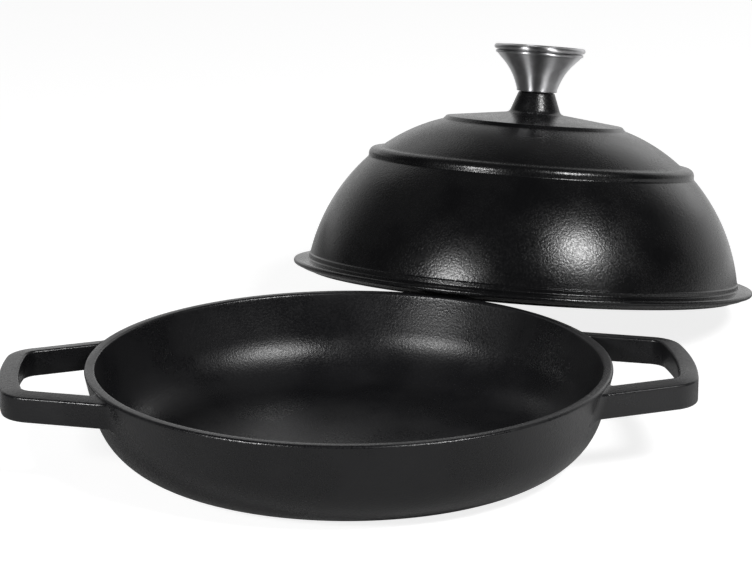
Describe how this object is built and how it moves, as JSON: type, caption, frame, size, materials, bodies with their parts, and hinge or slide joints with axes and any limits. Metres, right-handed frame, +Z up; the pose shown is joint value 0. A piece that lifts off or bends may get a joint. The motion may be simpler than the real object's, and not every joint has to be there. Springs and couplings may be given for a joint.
{
  "type": "cast iron bread pot",
  "caption": "Shallow round black iron pan with loop handles and a tall dome lid with a flared steel knob, for baking bread; the lid is off and leans on the pan's rim.",
  "frame": {"origin": "centre of the pan's flat base, on the table", "axes": "+Z up; +X along the line through both handles, to the right in the picture; +Y away from the viewer, towards the side where the lid leans"},
  "size_m": [0.4275, 0.5017, 0.1651],
  "materials": {
    "pan_iron": "black, seasoned, satin with a fine cast grain",
    "lid_iron": "black, seasoned, satin with a fine cast grain",
    "knob_steel": "stainless, turned and polished",
    "screw_steel": "plain zinc plate"
  },
  "bodies": {
    "pan": {"base_pan": "pan_iron"},
    "lid": {"dome_lid": "lid_iron", "knob_shell": "knob_steel", "knob_cap": "knob_steel", "knob_insert": "screw_steel", "knob_screw": "screw_steel", "flat_washer": "screw_steel", "lock_washer": "screw_steel"}
  },
  "joints": [
    {"name": "lid_lift", "type": "slide", "parent": "pan", "child": "lid", "axis": [0, 0, 1], "range_m": [0, 0.2]}
  ]
}
